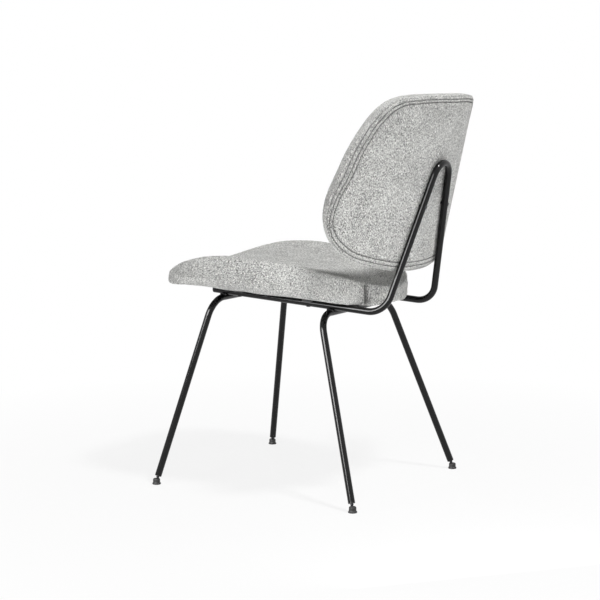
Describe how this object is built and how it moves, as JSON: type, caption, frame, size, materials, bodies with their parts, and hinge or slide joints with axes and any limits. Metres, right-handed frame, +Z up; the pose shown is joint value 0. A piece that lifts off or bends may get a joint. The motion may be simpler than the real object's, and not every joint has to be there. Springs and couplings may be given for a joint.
{
  "type": "dining chair",
  "caption": "Upholstered dining chair with a curved back and a rounded, dished seat on a bent steel tube frame with splayed legs and tilting foot pads.",
  "frame": {"origin": "on the floor, under the middle of the chair's box", "axes": "+Z up, +X to the sitter's left, the front towards -Y"},
  "size_m": [0.513, 0.6197, 0.81],
  "materials": {
    "frame_black": "satin",
    "wool_grey": "matte",
    "plywood": "matte",
    "lining_black": "matte",
    "plastic_black": "matte",
    "zinc_steel": "satin",
    "screw_black": "satin"
  },
  "bodies": {
    "chair": {"back_frame": "frame_black", "front_leg_frame": "frame_black", "rear_leg_frame": "frame_black", "frame_welds": "frame_black", "rail_plug_left": "plastic_black", "rail_plug_right": "plastic_black", "seat_shell": "plywood", "seat_cushion": "wool_grey", "seat_lining": "lining_black", "seat_tee_nuts": "zinc_steel", "seat_screws": "screw_black", "seat_saddles": "plastic_black", "back_shell": "plywood", "back_front_pad": "wool_grey", "back_rear_panel": "wool_grey", "back_inserts": "zinc_steel", "back_screws": "screw_black", "front_left_ball_stud": "screw_black", "front_left_leg_plug": "plastic_black", "front_right_ball_stud": "screw_black", "front_right_leg_plug": "plastic_black", "rear_left_ball_stud": "screw_black", "rear_left_leg_plug": "plastic_black", "rear_right_ball_stud": "screw_black", "rear_right_leg_plug": "plastic_black"},
    "front_left_pad": {"front_left_foot_pad": "plastic_black"},
    "front_right_pad": {"front_right_foot_pad": "plastic_black"},
    "rear_left_pad": {"rear_left_foot_pad": "plastic_black"},
    "rear_right_pad": {"rear_right_foot_pad": "plastic_black"}
  },
  "joints": [
    {"name": "front_left_pad_tilt", "type": "hinge", "parent": "chair", "child": "front_left_pad", "pos_m": [0.227, -0.2587, 0.007], "axis": [-0.7228, -0.6911, 0], "range_deg": [-7, 43]},
    {"name": "front_right_pad_tilt", "type": "hinge", "parent": "chair", "child": "front_right_pad", "pos_m": [-0.227, -0.2587, 0.007], "axis": [-0.7228, 0.6911, 0], "range_deg": [-7, 43]},
    {"name": "rear_left_pad_tilt", "type": "hinge", "parent": "chair", "child": "rear_left_pad", "pos_m": [0.2195, 0.2063, 0.007], "axis": [0.8351, -0.5501, 0], "range_deg": [-3, 46]},
    {"name": "rear_right_pad_tilt", "type": "hinge", "parent": "chair", "child": "rear_right_pad", "pos_m": [-0.2195, 0.2063, 0.007], "axis": [0.8351, 0.5501, 0], "range_deg": [-3, 46]}
  ]
}
